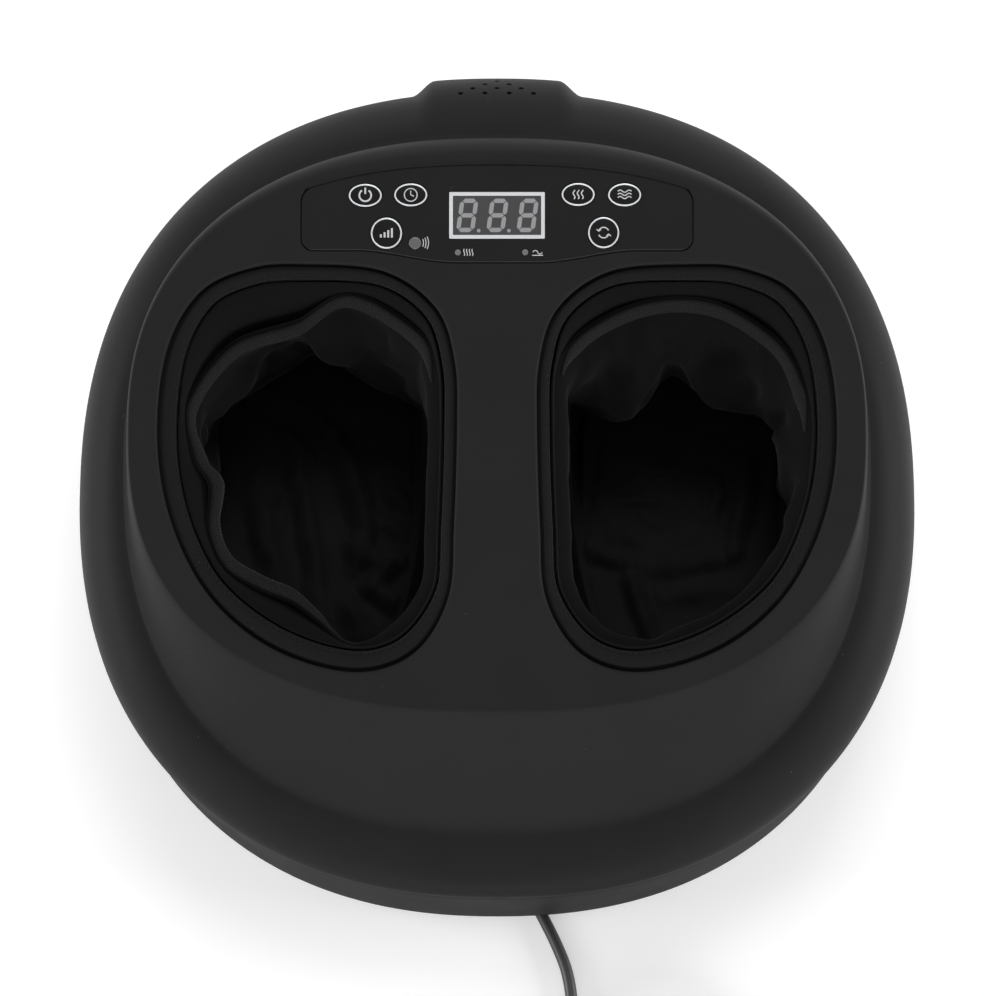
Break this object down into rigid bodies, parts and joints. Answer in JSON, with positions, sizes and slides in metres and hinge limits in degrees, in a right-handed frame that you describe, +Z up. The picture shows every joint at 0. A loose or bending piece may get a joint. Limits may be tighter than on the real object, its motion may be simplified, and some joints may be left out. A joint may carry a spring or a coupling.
{
  "type": "foot massager",
  "caption": "Round kneading foot massager with two fabric-lined foot wells, a tilted deck with a control panel, a worm-driven kneading drive and a mains lead.",
  "frame": {"origin": "on the floor, under the middle of the housing's outline", "axes": "+X to the user's right, +Y away from the seated user, +Z up"},
  "size_m": [0.387, 0.5342, 0.2135],
  "materials": {
    "housing": "fine matte black moulded ABS",
    "base": "matte grey-black moulded ABS",
    "gloss_panel": "satin-gloss black plate with white printed pictograms",
    "button_caps": "satin-gloss black caps with white outlines",
    "fabric": "black polyester lining over foam",
    "rubber": "matte black rubber",
    "steel": "plated steel",
    "aluminium": "plain aluminium sheet",
    "frame_plastic": "natural moulded plastic",
    "gear_plastic": "ivory acetal",
    "head_plastic": "grey moulded plastic",
    "bearing_plastic": "dark acetal",
    "bag_rubber": "welded TPU film",
    "board": "green lacquered board with its fittings",
    "display": "grey reflective display",
    "lens": "clear smoked acrylic",
    "cord": "black PVC sheath and moulded plug"
  },
  "bodies": {
    "housing": {"top_cover": "housing", "base_pan": "base", "control_panel": "gloss_panel", "left_collar": "fabric", "right_collar": "fabric", "left_pouch": "fabric", "right_pouch": "fabric", "front_left_foot": "rubber", "front_right_foot": "rubber", "rear_left_foot": "rubber", "rear_right_foot": "rubber", "left_air_hose": "rubber", "right_air_hose": "rubber", "wiring_loom": "rubber", "strain_relief": "rubber", "cord_tie": "rubber", "left_blade": "steel", "right_blade": "steel", "drive_motor": "steel", "air_pump": "steel", "housing_screw_1": "steel", "housing_screw_2": "steel", "housing_screw_3": "steel", "housing_screw_4": "steel", "housing_screw_5": "steel", "housing_screw_6": "steel", "left_heater": "aluminium", "right_heater": "aluminium", "chassis": "frame_plastic", "valve_block": "frame_plastic", "left_bearing": "bearing_plastic", "right_bearing": "bearing_plastic", "left_air_bag": "bag_rubber", "right_air_bag": "bag_rubber", "control_board": "board", "power_board": "board", "display_module": "display", "display_window": "lens", "ir_lens": "lens", "heat_indicator": "lens", "massage_indicator": "lens", "mains_cord": "cord", "cord_coil": "cord", "mains_plug": "cord"},
    "left_rear_drive": {"left_rear_wheel": "gear_plastic", "left_rear_head": "head_plastic"},
    "left_front_drive": {"left_front_wheel": "gear_plastic", "left_front_head": "head_plastic"},
    "right_rear_drive": {"right_rear_wheel": "gear_plastic", "right_rear_head": "head_plastic"},
    "right_front_drive": {"right_front_wheel": "gear_plastic", "right_front_head": "head_plastic"},
    "worm_shaft": {"worm_shaft": "steel"},
    "power_button": {"power_button": "button_caps"},
    "timer_button": {"timer_button": "button_caps"},
    "intensity_button": {"intensity_button": "button_caps"},
    "heating_button": {"heating_button": "button_caps"},
    "relax_button": {"relax_button": "button_caps"},
    "mode_button": {"mode_button": "button_caps"}
  },
  "joints": [
    {"name": "worm_shaft_spin", "type": "hinge", "parent": "housing", "child": "worm_shaft", "pos_m": [0, 0.038, 0.0315], "axis": [1, 0, 0], "continuous": true},
    {"name": "left_rear_head_spin", "type": "hinge", "parent": "housing", "child": "left_rear_drive", "pos_m": [-0.085, 0.067, 0.0315], "axis": [0, 0, 1], "continuous": true},
    {"name": "left_front_head_spin", "type": "hinge", "parent": "housing", "child": "left_front_drive", "pos_m": [-0.085, 0.009, 0.0315], "axis": [0, 0, 1], "continuous": true},
    {"name": "right_rear_head_spin", "type": "hinge", "parent": "housing", "child": "right_rear_drive", "pos_m": [0.085, 0.067, 0.0315], "axis": [0, 0, 1], "continuous": true},
    {"name": "right_front_head_spin", "type": "hinge", "parent": "housing", "child": "right_front_drive", "pos_m": [0.085, 0.009, 0.0315], "axis": [0, 0, 1], "continuous": true},
    {"name": "power_button_press", "type": "slide", "parent": "housing", "child": "power_button", "axis": [0, 0.3256, -0.9455], "range_m": [0, 0.0006], "stiffness_N_per_m": 400, "springref_m": -0.001},
    {"name": "timer_button_press", "type": "slide", "parent": "housing", "child": "timer_button", "axis": [0, 0.3256, -0.9455], "range_m": [0, 0.0006], "stiffness_N_per_m": 400, "springref_m": -0.001},
    {"name": "intensity_button_press", "type": "slide", "parent": "housing", "child": "intensity_button", "axis": [0, 0.3256, -0.9455], "range_m": [0, 0.0006], "stiffness_N_per_m": 400, "springref_m": -0.001},
    {"name": "heating_button_press", "type": "slide", "parent": "housing", "child": "heating_button", "axis": [0, 0.3256, -0.9455], "range_m": [0, 0.0006], "stiffness_N_per_m": 400, "springref_m": -0.001},
    {"name": "relax_button_press", "type": "slide", "parent": "housing", "child": "relax_button", "axis": [0, 0.3256, -0.9455], "range_m": [0, 0.0006], "stiffness_N_per_m": 400, "springref_m": -0.001},
    {"name": "mode_button_press", "type": "slide", "parent": "housing", "child": "mode_button", "axis": [0, 0.3256, -0.9455], "range_m": [0, 0.0006], "stiffness_N_per_m": 400, "springref_m": -0.001}
  ],
  "couplings": [
    {"joint": "left_rear_head_spin", "follows": "worm_shaft_spin", "ratio": -0.055556},
    {"joint": "left_front_head_spin", "follows": "worm_shaft_spin", "ratio": 0.055556},
    {"joint": "right_rear_head_spin", "follows": "worm_shaft_spin", "ratio": -0.055556},
    {"joint": "right_front_head_spin", "follows": "worm_shaft_spin", "ratio": 0.055556}
  ]
}
